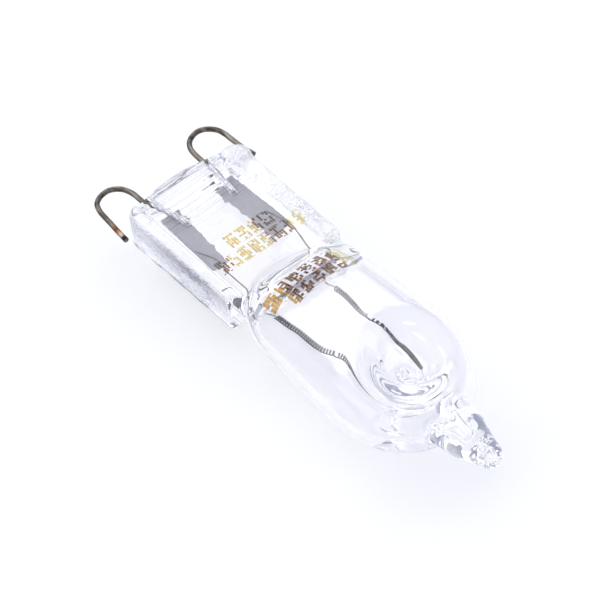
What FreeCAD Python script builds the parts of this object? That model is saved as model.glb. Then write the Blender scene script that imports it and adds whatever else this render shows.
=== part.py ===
import FreeCAD, Part
import math
import os
import Sketcher

# A halogen capsule lamp with two looped pins, lying on the lowest line of its round body, with
# the wide face of the pinch upwards.
# Every piece is drawn along the lamp's own axis first. X runs from the pins to the tip, starting
# at the glass's pin end. Y runs across the pinch, and the pinch's middle plane is Z = 0.

doc = FreeCAD.newDocument("capsule_lamp")
sheet = doc.addObject("Spreadsheet::Sheet", "Sizes")

# driving dimensions in millimetres and degrees
driving = {
    # pinch: a flat web between two thicker rails
    "pinchLength": 13.5,
    "pinchWidth": 11.0,
    "railWidth": 1.8,
    "railThickness": 3.4,
    "webThickness": 2.3,
    "endBulge": 0.6,
    "endSetback": 1.3,
    "cornerRadius": 0.9,
    "railRounding": 0.45,
    "railSlopeWidth": 0.35,
    # a long bump on the outside of each rail
    "lugPlace": 9.4,
    "lugLength": 3.0,
    "lugHeight": 0.5,
    "lugThickness": 1.7,
    # blown body
    "shoulderOverlap": 1.5,
    "neckRadius": 5.35,
    "coneLength": 8.8,
    "coneAngle": 3.6,
    "domeRadius": 9.0,
    "glassWall": 0.8,
    # the jaws leave a slope from the rails up to the round body
    "slopeLength": 5.4,
    "slopeHeight": 5.15,
    "spaceSetback": 0.9,
    "spaceHeight": 4.15,
    # sealed exhaust tip
    "tipRootRadius": 2.15,
    "tipCollarLength": 2.2,
    "tipCollarRadius": 1.85,
    "tipNubRadius": 1.7,
    "tipEndRadius": 1.05,
    "tipLength": 6.3,
    "tipAngle": 2.0,
    "tipBoreRadius": 0.6,
    "tipBoreDepth": 2.6,
    # round-bottomed dimples pressed in from both faces, joined by a post of glass
    "dimpleDistance": 17.1,
    "dimpleRadius": 2.05,
    "dimpleHeight": 3.4,
    "dimpleMouthRadius": 2.45,
    "dimpleWall": 0.62,
    "postRadius": 0.85,
    # looped pins
    "pinSpacing": 9.0,
    "pinWire": 0.43,
    "pinBendRadius": 1.53,
    "pinReach": 2.0,
    "pinLegLength": 3.8,
    "pinLegAngle": 4.0,
    "leadLength": 4.0,
    "leadKinkRadius": 2.0,
    "leadLeftAngle": 12.5,
    "leadRightAngle": 7.5,
    "leadClearance": 0.03,
    # foils sealed in the web
    "foilThickness": 0.04,
    "foilWidth": 1.95,
    "foilLength": 7.1,
    "foilStart": 2.2,
    "foilOffsetLeft": 2.35,
    "foilOffsetRight": 2.82,
    "foilLeftAngle": 5.2,
    "foilRightAngle": 2.4,
    "foilTab": 0.4,
    # inner leads
    "innerWire": 0.13,
    "innerLap": 2.4,
    "innerClearance": 0.012,
    # filament
    "coilDiameter": 0.38,
    "coilSetback": 4.3,
    "coilSag": 0.35,
    "coilSagPlace": 6.5,
    "postClearance": 0.95,
}


def fill_sheet():
    for row, (name, value) in enumerate(driving.items(), start=1):
        sheet.set(f"A{row}", name)
        sheet.set(f"B{row}", str(value))
        sheet.setAlias(f"B{row}", name)
    doc.recompute()


def size(expression):
    # the value of an expression on the sheet's sizes
    value = sheet.evalExpression(str(expression))
    return float(getattr(value, "Value", value))


def full(expression):
    # the same expression with the sheet's name before each size, for objects outside the sheet
    words = []
    word = ""
    for letter in str(expression) + " ":
        if letter.isalnum():
            word += letter
            continue
        words.append("Sizes." + word if word in driving else word)
        words.append(letter)
        word = ""
    return "".join(words).strip()


def bind(thing, prop, expression):
    thing.setExpression(prop, full(expression))


# sketches

def place_point(sketch, geometry, end, x, y):
    # both coordinates of one point of the sketch, bound to the sheet
    for kind, expression in (("DistanceX", x), ("DistanceY", y)):
        number = sketch.addConstraint(Sketcher.Constraint(kind, -1, 1, geometry, end, size(expression)))
        bind(sketch, f"Constraints[{number}]", expression)


def arc_through(start, end, radius, side):
    # the short arc from start to end that bulges to the left (1) or to the right (-1) of its chord
    chord = end - start
    middle = (start + end) / 2
    left = FreeCAD.Vector(-chord.y, chord.x, 0).normalize()
    sagitta = radius - math.sqrt(max(radius ** 2 - (chord.Length / 2) ** 2, 0.0))
    return Part.Arc(start, middle + left * side * sagitta, end)


def draw(sketch, corners, curves=None, closed=True):
    # corners: pairs of expressions; curves: the radius and side of each edge that isn't straight
    curves = curves or {}
    points = [FreeCAD.Vector(size(x), size(y), 0) for x, y in corners]
    count = len(points) if closed else len(points) - 1
    starts, ends = [], []
    for index in range(count):
        start, end = points[index], points[(index + 1) % len(points)]
        if index in curves:
            radius, side = curves[index]
            curve = arc_through(start, end, size(radius), side)
            number = sketch.addGeometry(curve, False)
            reversed_arc = sketch.getPoint(number, 1).distanceToPoint(start) > 1e-6
            starts.append((number, 2 if reversed_arc else 1))
            ends.append((number, 1 if reversed_arc else 2))
        else:
            number = sketch.addGeometry(Part.LineSegment(start, end), False)
            starts.append((number, 1))
            ends.append((number, 2))
    for index in range(count if closed else count - 1):
        following = starts[(index + 1) % count]
        sketch.addConstraint(Sketcher.Constraint("Coincident", *ends[index], *following))
    for index in range(count):
        place_point(sketch, *starts[index], *corners[index])
    if not closed:
        place_point(sketch, *ends[-1], *corners[-1])
    for index, (radius, side) in curves.items():
        number = sketch.addConstraint(Sketcher.Constraint("Radius", starts[index][0], size(radius)))
        bind(sketch, f"Constraints[{number}]", radius)
    return sketch


upright = FreeCAD.Rotation(FreeCAD.Vector(1, 0, 0), 90)


def origin_plane(body, role):
    return next(feature for feature in body.Origin.OriginFeatures if feature.Role == role)


def body_sketch(body, name, role):
    sketch = body.newObject("Sketcher::SketchObject", name)
    sketch.AttachmentSupport = (origin_plane(body, role), [""])
    sketch.MapMode = "FlatFace"
    return sketch


def free_sketch(name, rotation=None):
    sketch = doc.addObject("Sketcher::SketchObject", name)
    if rotation:
        sketch.Placement = FreeCAD.Placement(FreeCAD.Vector(), rotation)
    return sketch


# derived expressions that several pieces share
half_width = "pinchWidth / 2"
taper_sin, taper_cos = "sin(coneAngle * 1deg)", "cos(coneAngle * 1deg)"
shoulder_start = "(pinchLength - shoulderOverlap)"
slope_end = f"({shoulder_start} + slopeLength)"
space_start = f"({shoulder_start} + spaceSetback)"
dimple_place = f"({shoulder_start} + dimpleDistance)"
coil_start = f"({shoulder_start} + coilSetback)"
shoulder_centre = f"({shoulder_start} + neckRadius)"
cone_far_x = f"({shoulder_centre} - neckRadius * {taper_sin} + coneLength * {taper_cos})"
cone_far_r = f"(neckRadius * {taper_cos} + coneLength * {taper_sin})"
dome_centre_x = f"({cone_far_x} + domeRadius * {taper_sin})"
dome_centre_r = f"({cone_far_r} - domeRadius * {taper_cos})"
body_radius = f"({dome_centre_r} + domeRadius)"
dimple_top = f"({body_radius} + glassWall)"
loop_height = "(foilThickness / 2 + pinWire / 2)"
inner_height = "(foilThickness / 2 + innerWire / 2)"


def dome_place(radius, inset="0"):
    # where along the axis the dome, or the surface that lies inset within it, is down to a radius
    return f"({dome_centre_x} + sqrt((domeRadius - {inset}) ^ 2 - ({radius} - {dome_centre_r}) ^ 2))"


def stepped(centre_x, centre_r, radius, first, last, steps):
    # corners along a turned arc, where the angles count from the direction straight off the axis
    corners = []
    for number in range(steps + 1):
        angle = f"({first} + ({last} - {first}) * {number} / {steps})"
        corners.append((f"{centre_x} + {radius} * sin({angle})", f"{centre_r} + {radius} * cos({angle})"))
    return corners


def blown_outline(end_radius, shoulder_steps, dome_steps, inset="0"):
    # shoulder, cone and dome as fine steps: one wall in where inset is the wall
    dome = f"(domeRadius - {inset})"
    lean = "(-coneAngle * 1deg)"
    last = f"acos(({end_radius} - {dome_centre_r}) / {dome})"
    return (stepped(shoulder_centre, "0", f"(neckRadius - {inset})", "(-90deg)", lean, shoulder_steps)
            + stepped(dome_centre_x, dome_centre_r, dome, lean, last, dome_steps))


tip_start = dome_place("tipRootRadius")


def pinch_and_body():
    # outer form of the glass: pressed pinch, blown body and exhaust tip in one
    body = doc.addObject("PartDesign::Body", "GlassForm")

    outline = body_sketch(body, "PinchOutline", "XY_Plane")
    end_depth = "(endSetback + endBulge)"
    end_radius = f"((({half_width}) ^ 2 + {end_depth} ^ 2) / (2 * {end_depth}))"
    draw(outline, [("endSetback", half_width), ("pinchLength", half_width),
                   ("pinchLength", f"-{half_width}"), ("endSetback", f"-{half_width}")],
         {3: (end_radius, 1)})
    pinch = body.newObject("PartDesign::Pad", "Pinch")
    pinch.Profile = outline
    bind(pinch, "Length", "railThickness")
    pinch.Midplane = True
    doc.recompute()

    round_pinch_corners(body, pinch)
    press_web(body)
    doc.recompute()
    soften_rails(body)
    add_lugs(body)

    profile = body_sketch(body, "BodyProfile", "XY_Plane")
    collar_end = f"{tip_start} + tipCollarLength"
    draw(profile, blown_outline("tipRootRadius", 4, 6)
         + [(collar_end, "tipCollarRadius"), (collar_end, "0")])
    blown = body.newObject("PartDesign::Revolution", "BlownBody")
    blown.Profile = profile
    blown.ReferenceAxis = (profile, ["H_Axis"])
    blown.Angle = 360
    doc.recompute()

    flatten_shoulder(body)
    add_tip(body)
    return body


def round_pinch_corners(body, pinch):
    # the two corners at the pin end, seen from above
    upright = []
    for number, edge in enumerate(pinch.Shape.Edges, start=1):
        ends = [vertex.Point for vertex in edge.Vertexes]
        stands = abs(ends[0].z - ends[-1].z) > size("railThickness") / 2
        if stands and ends[0].x < size("pinchLength") / 2:
            upright.append(f"Edge{number}")
    corners = body.newObject("PartDesign::Fillet", "PinchCorners")
    corners.Base = (pinch, upright)
    bind(corners, "Radius", "cornerRadius")


def press_web(body):
    # the jaws press the web thinner than the rails, from both faces
    depth = "(railThickness - webThickness) / 2"
    wall = f"({half_width} - railWidth)"
    section = body_sketch(body, "WebSection", "YZ_Plane")
    draw(section, [(f"-{wall}", "webThickness / 2"), (wall, "webThickness / 2"),
                   (f"{wall} + railSlopeWidth", "railThickness / 2"),
                   (f"{wall} + railSlopeWidth", "railThickness"), (f"-({wall} + railSlopeWidth)", "railThickness"),
                   (f"-({wall} + railSlopeWidth)", "railThickness / 2")])
    upper = body.newObject("PartDesign::Pocket", "WebAbove")
    upper.Profile = section
    upper.Midplane = True
    bind(upper, "Length", "2 * pinchLength + 2 * endBulge")
    lower = body.newObject("PartDesign::Mirrored", "WebBelow")
    lower.Originals = [upper]
    lower.MirrorPlane = (origin_plane(body, "XY_Plane"), [""])
    body.Tip = lower


def soften_rails(body):
    # every long edge of the rails is rounded, as pressed hot glass is
    pressed = body.Tip
    half_rail = size("railThickness") / 2
    outer = size(half_width)
    softened = []
    for number, edge in enumerate(pressed.Shape.Edges, start=1):
        box = edge.BoundBox
        on_face = abs(abs(box.ZMin) - half_rail) < 1e-4 and box.ZLength < 1e-4
        at_neck = box.XMin > size("pinchLength") - 1e-4
        outside = box.YMax > outer - size("railWidth") or box.YMin < size("railWidth") - outer
        if on_face and outside and not at_neck:
            softened.append(f"Edge{number}")
    rounding = body.newObject("PartDesign::Fillet", "RailRounding")
    rounding.Base = (pressed, softened)
    bind(rounding, "Radius", "railRounding")
    doc.recompute()


def add_lugs(body):
    # a long low bump on each rail, which the holder's spring clicks behind
    sketch = body_sketch(body, "LugOutline", "XY_Plane")
    start = "lugPlace - lugLength / 2"
    end = "lugPlace + lugLength / 2"
    root = f"{half_width} - railWidth / 2"
    radius = "((lugLength / 2) ^ 2 + lugHeight ^ 2) / (2 * lugHeight)"
    draw(sketch, [(start, root), (start, half_width), (end, half_width), (end, root)],
         {1: (radius, 1)})
    lug = body.newObject("PartDesign::Pad", "Lug")
    lug.Profile = sketch
    bind(lug, "Length", "lugThickness")
    lug.Midplane = True
    other = body.newObject("PartDesign::Mirrored", "OtherLug")
    other.Originals = [lug]
    other.MirrorPlane = (origin_plane(body, "XZ_Plane"), [""])
    body.Tip = other
    doc.recompute()


def flatten_shoulder(body):
    # the jaws' ends squeeze the tube down to the rails' height, above and below
    sketch = body_sketch(body, "ShoulderSlope", "XZ_Plane")
    back, high = f"{shoulder_start} - glassWall", "neckRadius + glassWall"
    ledge = "railThickness / 2"
    draw(sketch, [(back, ledge), ("pinchLength", ledge), (slope_end, "slopeHeight"),
                  (slope_end, high), (back, high)])
    upper = body.newObject("PartDesign::Pocket", "SlopeAbove")
    upper.Profile = sketch
    upper.Midplane = True
    bind(upper, "Length", "4 * neckRadius")
    lower = body.newObject("PartDesign::Mirrored", "SlopeBelow")
    lower.Originals = [upper]
    lower.MirrorPlane = (origin_plane(body, "XY_Plane"), [""])
    body.Tip = lower
    doc.recompute()


def add_tip(body):
    # the sealed end of the exhaust tube leans a little to the left
    sketch = body_sketch(body, "TipProfile", "XY_Plane")
    bind(sketch, "AttachmentOffset.Base.x", f"{tip_start}")
    sketch.setExpression("AttachmentOffset.Rotation.Angle", full("-tipAngle"))
    nub = "tipLength - tipEndRadius"
    draw(sketch, [("0", "0"), ("0", "tipRootRadius * 0.8"), ("tipCollarLength", "tipNubRadius"),
                  (nub, "tipEndRadius"), ("tipLength", "0")],
         {3: ("tipEndRadius", 1)})
    tip = body.newObject("PartDesign::Revolution", "ExhaustTip")
    tip.Profile = sketch
    tip.ReferenceAxis = (sketch, ["H_Axis"])
    tip.Angle = 360
    doc.recompute()


def turned(name, sketch, axis, base=None):
    # a solid turned from a free sketch
    solid = doc.addObject("Part::Revolution", name)
    solid.Source = sketch
    solid.Axis = axis
    solid.Angle = 360
    solid.Solid = True
    if base:
        bind(solid, "Base.x", base)
    return solid


def bulb_space():
    # the sealed space inside, one wall in from the outer form, with the start of the exhaust bore
    sketch = free_sketch("SpaceProfile")
    bore_start = dome_place("tipBoreRadius", "glassWall")
    draw(sketch, blown_outline("tipBoreRadius", 3, 4, "glassWall")
         + [(f"{bore_start} + tipBoreDepth", "0")])
    return turned("BulbSpace", sketch, FreeCAD.Vector(1, 0, 0))


def shoulder_wedge():
    # what the space loses where the tube is flattened: it starts as a thin edge and opens
    sketch = free_sketch("WedgeOutline", upright)
    back, high = shoulder_start, "neckRadius"
    draw(sketch, [(back, f"-{high}"), (slope_end, f"-{high}"), (slope_end, "-spaceHeight"),
                  (space_start, "0"), (slope_end, "spaceHeight"), (slope_end, high), (back, high)])
    wedge = doc.addObject("Part::Extrusion", "ShoulderWedge")
    wedge.Base = sketch
    wedge.DirMode = "Normal"
    wedge.Symmetric = True
    bind(wedge, "LengthFwd", "4 * neckRadius")
    wedge.Solid = True
    return wedge


def cup(wall, first):
    # the round bottom and the opening side of the upper dimple, or the glass round it
    radius = f"(dimpleRadius + {wall})"
    return (stepped("0", "dimpleHeight", radius, first, "90deg", 4)
            + [(f"dimpleMouthRadius + {wall}", dimple_top)])


def dimple_post():
    # the glass round both dimples, joined by a post in the lamp's middle
    sketch = free_sketch("PostProfile", upright)
    bind(sketch, "Placement.Base.x", dimple_place)
    upper = cup("dimpleWall", "(180deg - asin(postRadius / (dimpleRadius + dimpleWall)))")
    lower = [(x, f"-({y})") for x, y in reversed(upper)]
    draw(sketch, [("0", f"-{dimple_top}")] + lower + upper + [("0", dimple_top)])
    return turned("DimplePost", sketch, FreeCAD.Vector(0, 0, 1), dimple_place)


def dimple(name, side):
    # the hollow of one dimple
    sketch = free_sketch(f"{name}Profile", upright)
    bind(sketch, "Placement.Base.x", dimple_place)
    corners = cup("0", "180deg") + [("0", dimple_top)]
    draw(sketch, [(x, f"{side} * ({y})") for x, y in corners])
    return turned(name, sketch, FreeCAD.Vector(0, 0, 1), dimple_place)


# wires

def wire_sweep(name, path, diameter):
    # a round wire along the path's edges
    circle = doc.addObject("Sketcher::SketchObject", f"{name}_section")
    circle.AttachmentSupport = (path, ["Edge1"])
    circle.MapMode = "NormalToEdge"
    circle.MapPathParameter = 0.0
    circle.addGeometry(Part.Circle(FreeCAD.Vector(), FreeCAD.Vector(0, 0, 1), size(diameter) / 2), False)
    circle.addConstraint(Sketcher.Constraint("Coincident", 0, 3, -1, 1))
    number = circle.addConstraint(Sketcher.Constraint("Diameter", 0, size(diameter)))
    bind(circle, f"Constraints[{number}]", diameter)
    doc.recompute()
    sweep = doc.addObject("Part::Sweep", name)
    sweep.Sections = [circle]
    sweep.Spine = (path, [f"Edge{i + 1}" for i in range(len(path.Shape.Edges))])
    sweep.Solid = True
    sweep.Frenet = True
    sweep.Transition = "Right corner"
    return sweep


def pin_path(name, side, toe):
    # from the end on the foil, out of the glass, round the loop and back beside the pinch
    path = free_sketch(f"{name}_path")
    bind(path, "Placement.Base.z", loop_height)
    inner = f"{side} * (pinSpacing / 2 - pinBendRadius)"
    middle = f"{side} * pinSpacing / 2"
    kink = f"(leadKinkRadius * tan({toe} * 1deg / 2))"
    run_x, run_y = f"cos({toe} * 1deg)", f"{-side} * sin({toe} * 1deg)"
    leg_x, leg_y = "cos(pinLegAngle * 1deg)", f"{side} * sin(pinLegAngle * 1deg)"
    turn_x, turn_y = f"-pinReach - pinBendRadius * sin(pinLegAngle * 1deg)", (
        f"{middle} + {side} * pinBendRadius * cos(pinLegAngle * 1deg)")
    corners = [
        (f"leadLength * {run_x}", f"{inner} + leadLength * {run_y}"),
        (f"{kink} * {run_x}", f"{inner} + {kink} * {run_y}"),
        (f"-{kink}", inner),
        ("-pinReach", inner),
        ("-pinReach - pinBendRadius", middle),
        (turn_x, turn_y),
        (f"{turn_x} + pinLegLength * {leg_x}", f"{turn_y} + pinLegLength * {leg_y}"),
    ]
    return draw(path, corners, {1: ("leadKinkRadius", -side), 3: ("pinBendRadius", side),
                                4: ("pinBendRadius", side)}, closed=False)


def foil_outline(name, side, offset, turn):
    # a thin strip with small tabs on its inner edge
    sketch = free_sketch(f"{name}_outline")
    bind(sketch, "Placement.Base.x", "foilStart")
    bind(sketch, "Placement.Base.y", f"{side} * {offset}")
    bind(sketch, "Placement.Base.z", "-foilThickness / 2")
    bind(sketch, "Placement.Rotation.Angle", f"{side} * {turn}")
    outer, inner = f"{side} * foilWidth / 2", f"{-side} * foilWidth / 2"
    proud = f"{-side} * (foilWidth / 2 + foilTab)"
    tab = "foilTab"
    second = "foilLength / 5"
    return draw(sketch, [("0", outer), ("foilLength", outer), ("foilLength", inner),
                         (f"{second} + {tab}", inner), (f"{second} + {tab} / 2", proud),
                         (second, inner), (f"{tab} * 1.5", inner), (tab, proud), ("0", inner)])


def strip(name, sketch):
    solid = doc.addObject("Part::Extrusion", name)
    solid.Base = sketch
    solid.DirMode = "Normal"
    bind(solid, "LengthFwd", "foilThickness")
    solid.Solid = True
    return solid


def inner_lead_path(name, side, offset, turn):
    # along the foil's far end, straight on through the glass and into the filament's coil
    path = free_sketch(f"{name}_path")
    bind(path, "Placement.Base.z", inner_height)
    along, across = f"cos({turn} * 1deg)", f"{side} * sin({turn} * 1deg)"
    lap = "(foilLength - innerLap)"
    corners = [
        (f"foilStart + {lap} * {along}", f"{side} * {offset} + {lap} * {across}"),
        (f"foilStart + foilLength * {along}", f"{side} * {offset} + foilLength * {across}"),
        (coil_start, f"{side} * {coil_half}"),
    ]
    return draw(path, corners, closed=False)


coil_half = "(postRadius + postClearance + coilDiameter / 2)"


def filament_path():
    # two sagging legs of coil and a turn round the tip side of the glass post, in mitred steps
    path = free_sketch("filament_path")
    bind(path, "Placement.Base.z", inner_height)
    sag_x, drop = f"({coil_start} + coilSagPlace)", "coilSag"
    turn = []
    for number in range(9):
        angle = f"({number} * 22.5deg)"
        turn.append((f"{dimple_place} + {coil_half} * sin({angle})", f"-{coil_half} * cos({angle})"))
    corners = ([(coil_start, f"-{coil_half}"), (sag_x, f"-{coil_half} + {drop}")] + turn
               + [(sag_x, f"{coil_half} + {drop}"), (coil_start, coil_half)])
    return draw(path, corners, closed=False)


def rest_placement():
    # the lamp lies on the lowest line of its cone, so its axis leans by the taper, pins down
    tilt = math.radians(size("coneAngle"))
    turn = FreeCAD.Rotation(FreeCAD.Vector(0, 1, 0), -math.degrees(tilt))
    pins_end = size("-pinReach - pinBendRadius - pinWire / 2") * math.cos(tilt)
    tip_end = size(f"{tip_start} + tipLength - tipEndRadius") * math.cos(tilt) + size("tipEndRadius")
    height = size("neckRadius") - size(shoulder_centre) * math.sin(tilt)
    return FreeCAD.Placement(FreeCAD.Vector(-(pins_end + tip_end) / 2, 0, height), turn)


def named(thing, label, placement):
    thing.Label = label
    thing.Placement = placement
    return thing


def build():
    fill_sheet()
    form = pinch_and_body()
    space = bulb_space()
    post = dimple_post()
    doc.recompute()

    flattened = doc.addObject("Part::Cut", "FlattenedSpace")
    flattened.Base, flattened.Tool = space, shoulder_wedge()
    hollow = doc.addObject("Part::Cut", "HollowRoundPost")
    hollow.Base, hollow.Tool = flattened, post

    parts = []
    tools = [hollow, dimple("DimpleAbove", 1), dimple("DimpleBelow", -1)]
    for label, side, toe, offset, turn in (
            ("left", -1, "leadLeftAngle", "foilOffsetLeft", "foilLeftAngle"),
            ("right", 1, "leadRightAngle", "foilOffsetRight", "foilRightAngle")):
        path = pin_path(f"pin_{label}", side, toe)
        outline = foil_outline(f"foil_{label}", side, offset, turn)
        lead = inner_lead_path(f"inner_lead_{label}", side, offset, turn)
        doc.recompute()
        parts.append((wire_sweep(f"pin_{label}", path, "pinWire"), f"pin_{label}"))
        parts.append((strip(f"foil_{label}", outline), f"foil_{label}"))
        parts.append((wire_sweep(f"inner_lead_{label}", lead, "innerWire"), f"inner_lead_{label}"))
        tools.append(wire_sweep(f"PinBore_{label}", path, "pinWire + 2 * leadClearance"))
        tools.append(strip(f"FoilSlot_{label}", outline))
        tools.append(wire_sweep(f"LeadBore_{label}", lead, "innerWire + 2 * innerClearance"))
    coil = filament_path()
    doc.recompute()
    parts.append((wire_sweep("filament", coil, "coilDiameter"), "filament"))
    doc.recompute()

    seal = form
    for tool in tools:
        cut = doc.addObject("Part::Cut", f"Glass_{tool.Name}")
        cut.Base, cut.Tool = seal, tool
        seal = cut
    parts.append((seal, "glass_envelope"))
    doc.recompute()

    placement = rest_placement()
    for thing, label in parts:
        named(thing, label, placement)
    doc.recompute()
    return parts


def check_and_write(parts):
    for thing in doc.Objects:
        if "Invalid" in thing.State or "Error" in thing.State:
            raise RuntimeError(f"{thing.Name}: {thing.State}")
    for thing, label in parts:
        if thing.Shape.isNull() or not thing.Shape.isValid():
            raise RuntimeError(f"{label}: the shape isn't valid")
    os.makedirs("parts", exist_ok=True)
    for thing, label in parts:
        thing.Shape.exportStep(os.path.join("parts", f"{label}.step"))
        box = thing.Shape.BoundBox
        print(f"{label}: {len(thing.Shape.Solids)} solid, {thing.Shape.Volume:.3f} mm3,",
              f"x {box.XMin:.2f} {box.XMax:.2f} y {box.YMin:.2f} {box.YMax:.2f}",
              f"z {box.ZMin:.2f} {box.ZMax:.2f}")


check_and_write(build())
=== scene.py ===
import math
import bpy
import numpy as np
from mathutils import Matrix, Vector


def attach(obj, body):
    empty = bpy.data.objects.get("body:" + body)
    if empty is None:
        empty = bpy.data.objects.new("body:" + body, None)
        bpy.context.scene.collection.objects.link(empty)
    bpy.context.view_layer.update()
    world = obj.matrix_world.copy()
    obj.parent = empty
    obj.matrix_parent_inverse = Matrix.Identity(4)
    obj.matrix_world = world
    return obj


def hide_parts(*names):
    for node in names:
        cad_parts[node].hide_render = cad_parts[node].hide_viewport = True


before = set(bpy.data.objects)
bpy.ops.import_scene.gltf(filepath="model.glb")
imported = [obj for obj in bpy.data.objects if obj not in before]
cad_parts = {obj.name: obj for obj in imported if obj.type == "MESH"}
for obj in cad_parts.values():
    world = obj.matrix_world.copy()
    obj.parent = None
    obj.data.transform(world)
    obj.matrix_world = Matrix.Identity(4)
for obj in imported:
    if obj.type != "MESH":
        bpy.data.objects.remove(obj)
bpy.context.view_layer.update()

# The lamp is built along its own axis: x from the pinch's pin end to the tip, y across, z up, in mm.
# It lies on its body, which is a slight cone, so the whole of it tilts by the cone's taper.
lamp = {
    "tilt": math.radians(3.6),
    "start": -18.23,  # the frame's x where the lamp's own x is 0
    "shoulder": (17.35, 5.35),  # the cone's narrow end: place and radius
}
shoulderAt, shoulderRadius = lamp["shoulder"]
origin = Vector((lamp["start"], 0.0, shoulderRadius - shoulderAt * math.sin(lamp["tilt"]))) * 0.001
lampPlace = Matrix.Translation(origin) @ Matrix.Rotation(-lamp["tilt"], 4, "Y")


def addMesh(name, points, faces, material, node, smooth=True):
    mesh = bpy.data.meshes.new(name)
    mesh.from_pydata((np.asarray(points) * 0.001).tolist(), [], [list(face) for face in faces])
    mesh.materials.append(material)
    mesh.polygons.foreach_set("use_smooth", [smooth] * len(mesh.polygons))
    mesh.transform(lampPlace)
    mesh.update()
    piece = bpy.data.objects.new(name, mesh)
    bpy.context.scene.collection.objects.link(piece)
    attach(piece, "root")
    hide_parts(node)


# shader node helpers

def newMaterial(name):
    material = bpy.data.materials.new(name)
    material.use_nodes = True
    tree = material.node_tree
    tree.nodes.clear()
    return material, tree


def addNode(tree, kind, inputs=None, **settings):
    node = tree.nodes.new(kind)
    for key, value in settings.items():
        setattr(node, key, value)
    for key, value in (inputs or {}).items():
        if isinstance(value, bpy.types.NodeSocket):
            tree.links.new(value, node.inputs[key])
        else:
            node.inputs[key].default_value = value
    return node


def newGroup(name, inputs, outputs):
    # each input and output is a name and a kind, such as Float or Color
    group = bpy.data.node_groups.new(name, "ShaderNodeTree")
    for way, sockets in (("INPUT", inputs), ("OUTPUT", outputs)):
        for title, kind in sockets:
            group.interface.new_socket(name=title, in_out=way, socket_type="NodeSocket" + kind)
    return group, addNode(group, "NodeGroupInput").outputs


def maths(tree, operation, a, b=0.0, clamp=False):
    node = addNode(tree, "ShaderNodeMath", {0: a, 1: b}, operation=operation)
    node.use_clamp = clamp
    return node.outputs[0]


def times(tree, first, *others):
    for other in others:
        first = maths(tree, "MULTIPLY", first, other)
    return first


def above(tree, value, limit):
    return maths(tree, "GREATER_THAN", value, limit)


def below(tree, value, limit):
    return maths(tree, "LESS_THAN", value, limit)


def distance(tree, value, middle):
    return maths(tree, "ABSOLUTE", maths(tree, "SUBTRACT", value, middle))


def fade(tree, value, low, high):
    # 0 at low and 1 at high, smooth between them
    return addNode(tree, "ShaderNodeMapRange", {"Value": value, "From Min": low, "From Max": high},
                   interpolation_type="SMOOTHSTEP").outputs[0]


def millimetres(tree):
    # the lamp's own coordinates, as millimetres
    place = addNode(tree, "ShaderNodeTexCoord").outputs["Object"]
    turn = (0.0, -lamp["tilt"], 0.0)
    back = {"Vector": place, "Location": origin, "Rotation": turn, "Scale": (0.001, 0.001, 0.001)}
    return addNode(tree, "ShaderNodeMapping", back, vector_type="TEXTURE").outputs[0]


def separate(tree, place):
    split = addNode(tree, "ShaderNodeSeparateXYZ", {0: place}).outputs
    return split["X"], split["Y"], split["Z"]


def noise(tree, place, scale, detail, grain=0.5):
    inputs = {"Vector": place, "Scale": scale, "Detail": detail, "Roughness": grain}
    return addNode(tree, "ShaderNodeTexNoise", inputs).outputs["Fac"]


def ramp(tree, value, stops):
    node = addNode(tree, "ShaderNodeValToRGB", {"Fac": value})
    elements = node.color_ramp.elements
    for element, (place, colour) in zip(elements, stops):
        element.position, element.color = place, (*colour, 1.0)
    for place, colour in stops[2:]:
        elements.new(place).color = (*colour, 1.0)
    return node.outputs["Color"]


def mixColour(tree, factor, a, b):
    # a and b are sockets or plain colours
    a, b = [(*colour, 1.0) if isinstance(colour, tuple) else colour for colour in (a, b)]
    return addNode(tree, "ShaderNodeMix", {0: factor, 6: a, 7: b}, data_type="RGBA").outputs[2]


def bumped(tree, height, depth, strength):
    return addNode(tree, "ShaderNodeBump",
                   {"Height": height, "Distance": depth, "Strength": strength}).outputs["Normal"]


def principled(tree, inputs):
    return addNode(tree, "ShaderNodeBsdfPrincipled", inputs).outputs[0]


def surface(tree, shader):
    addNode(tree, "ShaderNodeOutputMaterial", {"Surface": shader})


def mottleGroup():
    # an uneven tone between a dark and a light colour
    inputs = [("Vector", "Vector"), ("Scale", "Float"), ("Detail", "Float"), ("Grain", "Float"),
              ("Low", "Float"), ("High", "Float"), ("Dark", "Color"), ("Light", "Color")]
    group, source = newGroup("Mottle", inputs, [("Colour", "Color"), ("Value", "Float")])
    value = noise(group, source["Vector"], source["Scale"], source["Detail"], source["Grain"])
    share = addNode(group, "ShaderNodeMapRange",
                    {"Value": value, "From Min": source["Low"], "From Max": source["High"]}).outputs[0]
    colour = mixColour(group, share, source["Dark"], source["Light"])
    addNode(group, "NodeGroupOutput", {"Colour": colour, "Value": value})
    return group


mottle = mottleGroup()


def mottled(tree, place, finish):
    (low, dark), (high, light) = finish["tones"]
    inputs = {"Vector": place, "Scale": finish["scale"], "Detail": finish["detail"],
              "Grain": finish.get("grain", 0.5), "Low": low, "High": high,
              "Dark": (*dark, 1.0), "Light": (*light, 1.0)}
    node = addNode(tree, "ShaderNodeGroup", inputs, node_tree=mottle)
    return node.outputs["Colour"], node.outputs["Value"]


# solid shapes as distance fields

def blend(a, b, k):
    # smooth union of two fields
    h = np.clip(0.5 + 0.5 * (b - a) / k, 0.0, 1.0)
    return b + (a - b) * h - k * h * (1.0 - h)


def common(a, b, k):
    # what two fields share, with a soft edge
    return -blend(-a, -b, k)


def carve(a, b, k):
    # a with b taken out of it, with a soft edge
    return -blend(-a, b, k)


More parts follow.
